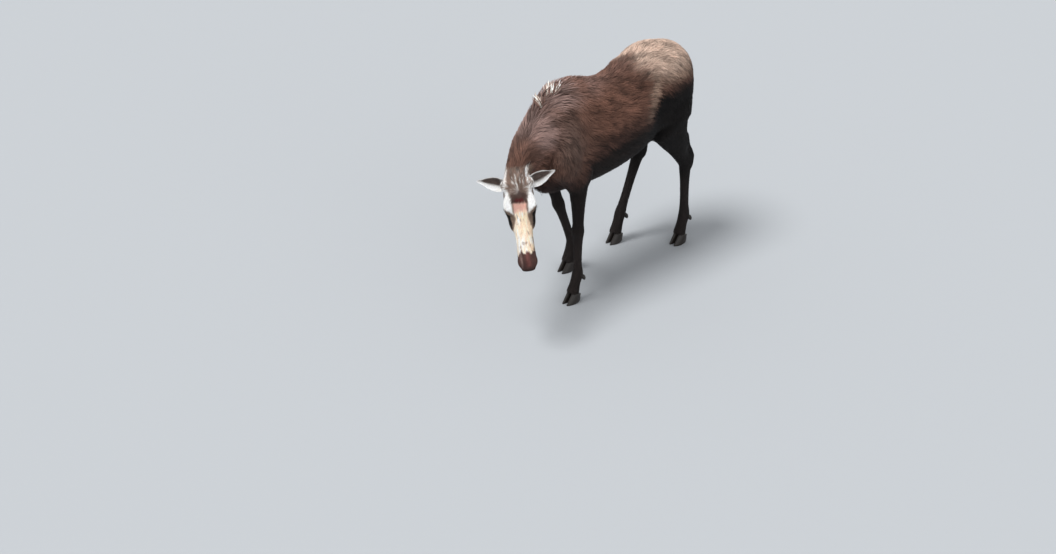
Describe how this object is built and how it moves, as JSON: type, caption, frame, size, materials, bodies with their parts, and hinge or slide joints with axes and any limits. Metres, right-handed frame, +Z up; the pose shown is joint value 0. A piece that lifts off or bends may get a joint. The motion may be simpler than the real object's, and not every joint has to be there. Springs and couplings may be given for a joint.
{
  "type": "moose",
  "caption": "Life-size cow moose standing on four long legs with a low, turned head, a shoulder hump, a shaggy brown coat with darker belly and legs, and a pale face.",
  "frame": {"origin": "on the floor, under the middle of the bounding box", "axes": "+Z up, -Y the way the body faces, +X the animal's left"},
  "size_m": [0.7748, 2.1586, 1.7488],
  "materials": {
    "coat": "long brown hair, matt",
    "leg_coat": "short near-black hair, matt",
    "face_coat": "short pale hair, matt",
    "ear_coat": "pale hair, matt",
    "horn": "dark hoof horn, satin",
    "eye": "dark, wet and glossy"
  },
  "bodies": {
    "root": {"trunk": "coat", "neck": "coat", "head": "face_coat", "eye_left": "eye", "eye_right": "eye", "ear_left": "ear_coat", "ear_right": "ear_coat", "tail": "coat", "bell": "coat", "foreleg_left_forearm": "coat", "foreleg_left_cannon": "leg_coat", "foreleg_left_hoof_outer": "horn", "foreleg_left_dewclaw_outer": "horn", "foreleg_left_hoof_inner": "horn", "foreleg_left_dewclaw_inner": "horn", "foreleg_right_forearm": "coat", "foreleg_right_cannon": "leg_coat", "foreleg_right_hoof_outer": "horn", "foreleg_right_dewclaw_outer": "horn", "foreleg_right_hoof_inner": "horn", "foreleg_right_dewclaw_inner": "horn", "hindleg_left_gaskin": "coat", "hindleg_left_cannon": "leg_coat", "hindleg_left_hoof_outer": "horn", "hindleg_left_dewclaw_outer": "horn", "hindleg_left_hoof_inner": "horn", "hindleg_left_dewclaw_inner": "horn", "hindleg_right_gaskin": "coat", "hindleg_right_cannon": "leg_coat", "hindleg_right_hoof_outer": "horn", "hindleg_right_dewclaw_outer": "horn", "hindleg_right_hoof_inner": "horn", "hindleg_right_dewclaw_inner": "horn"}
  },
  "joints": []
}
